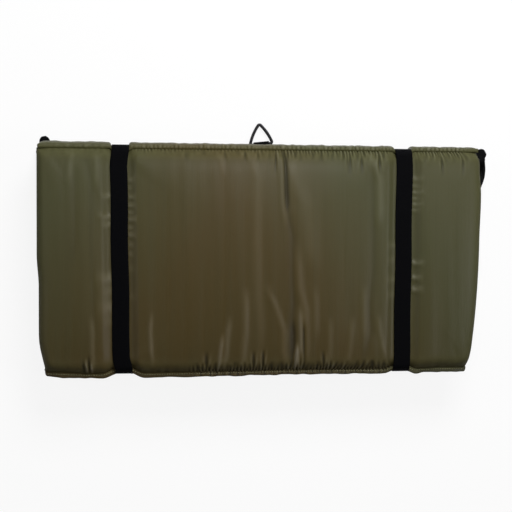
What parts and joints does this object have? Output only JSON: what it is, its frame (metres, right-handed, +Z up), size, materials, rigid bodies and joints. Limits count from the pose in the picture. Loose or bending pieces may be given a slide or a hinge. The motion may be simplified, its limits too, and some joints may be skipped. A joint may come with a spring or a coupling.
{
  "type": "folding unhooking mat",
  "caption": "Padded fishing mat that folds accordion-wise into a flat pack, held shut by elastic bands, with wire rings and a shoulder strap along one edge.",
  "frame": {"origin": "middle of the back panel's underside, on the surface that the folded mat lies on", "axes": "+X along the folds, to the right of the front face; +Y to the edge that carries the rings; +Z up through the stack to the front face"},
  "size_m": [0.6645, 0.3579, 0.0986],
  "materials": {
    "olive_nylon": "coated satin nylon",
    "olive_base": "heavier coated nylon",
    "foam": "closed-cell foam, matt",
    "elastic": "ribbed woven elastic",
    "webbing": "woven webbing",
    "wire": "black coated wire"
  },
  "bodies": {
    "back_panel": {"back_cover_lower": "olive_base", "back_cover_upper": "olive_nylon", "back_foam": "foam", "back_fold_strip": "olive_nylon", "back_hem": "olive_nylon", "elastic_band_left": "elastic", "elastic_band_right": "elastic", "centre_ring_tab": "webbing", "left_ring_tab": "webbing", "right_ring_tab": "webbing", "shoulder_strap": "webbing"},
    "middle_panel": {"middle_cover_lower": "olive_nylon", "middle_cover_upper": "olive_base", "middle_foam": "foam", "front_fold_strip": "olive_nylon"},
    "front_panel": {"front_cover_lower": "olive_base", "front_cover_upper": "olive_nylon", "front_foam": "foam", "front_hem": "olive_nylon"},
    "centre_ring": {"centre_ring": "wire"},
    "left_ring": {"left_ring": "wire", "strap_loop_left": "webbing"},
    "right_ring": {"right_ring": "wire", "strap_loop_right": "webbing"}
  },
  "joints": [
    {"name": "back_fold", "type": "hinge", "parent": "back_panel", "child": "middle_panel", "pos_m": [0, -0.16, 0.031], "axis": [1, 0, 0], "range_deg": [0, 180], "deforming": ["back_fold_strip", "front_fold_strip", "elastic_band_left", "elastic_band_right"]},
    {"name": "front_fold", "type": "hinge", "parent": "middle_panel", "child": "front_panel", "pos_m": [0, 0.16, 0.0623], "axis": [-1, 0, 0], "range_deg": [0, 180]},
    {"name": "centre_ring_swing", "type": "hinge", "parent": "back_panel", "child": "centre_ring", "pos_m": [0.005, 0.1697, 0.004], "axis": [0.9945, 0.1045, 0], "range_deg": [0, 110]},
    {"name": "left_ring_swing", "type": "hinge", "parent": "back_panel", "child": "left_ring", "pos_m": [-0.3024, 0.1503, 0.0065], "axis": [0.9848, 0.1736, 0], "range_deg": [0, 90], "deforming": ["shoulder_strap"]},
    {"name": "right_ring_swing", "type": "hinge", "parent": "back_panel", "child": "right_ring", "pos_m": [0.3213, 0.1459, 0.0065], "axis": [0.5, -0.866, 0], "range_deg": [0, 90], "deforming": ["shoulder_strap"]}
  ],
  "couplings": [
    {"joint": "front_fold", "follows": "back_fold", "ratio": 1}
  ]
}
